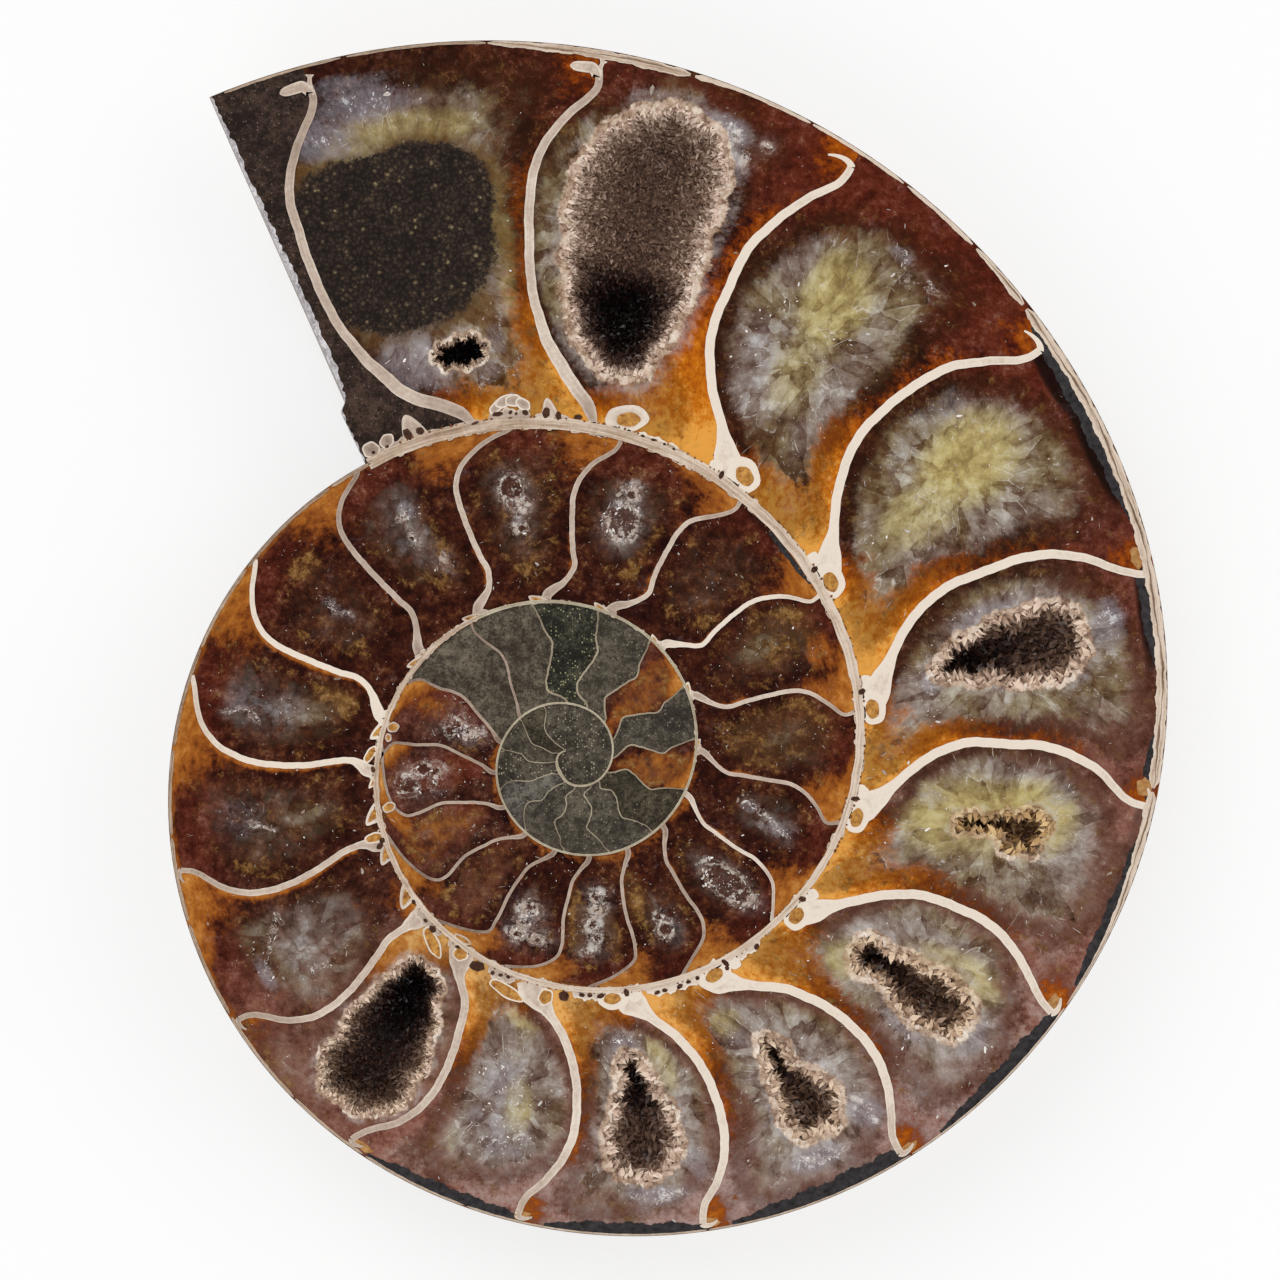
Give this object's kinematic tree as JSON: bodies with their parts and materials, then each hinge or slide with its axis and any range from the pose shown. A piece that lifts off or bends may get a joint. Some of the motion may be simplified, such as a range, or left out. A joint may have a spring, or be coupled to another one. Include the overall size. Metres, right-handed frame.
{
  "type": "ammonite fossil half",
  "caption": "Half of a sawn and polished ammonite fossil: flat face with septa, calcite chambers and crystal pockets, domed natural back.",
  "frame": {"origin": "centre of the bounding box, at the level of the lowest point of the rounded back", "axes": "+Z out of the sawn face, which is level and faces up; +X and +Y lie in the face, with the mouth of the shell towards -X +Y; the shell grows counter-clockwise seen from above"},
  "size_m": [0.0918, 0.1096, 0.015],
  "materials": {
    "calcite": "polished",
    "shell": "gloss",
    "matrix": "satin",
    "crystals": "gloss",
    "flank": "satin"
  },
  "bodies": {
    "root": {"ammonite_half": "calcite"}
  },
  "joints": []
}
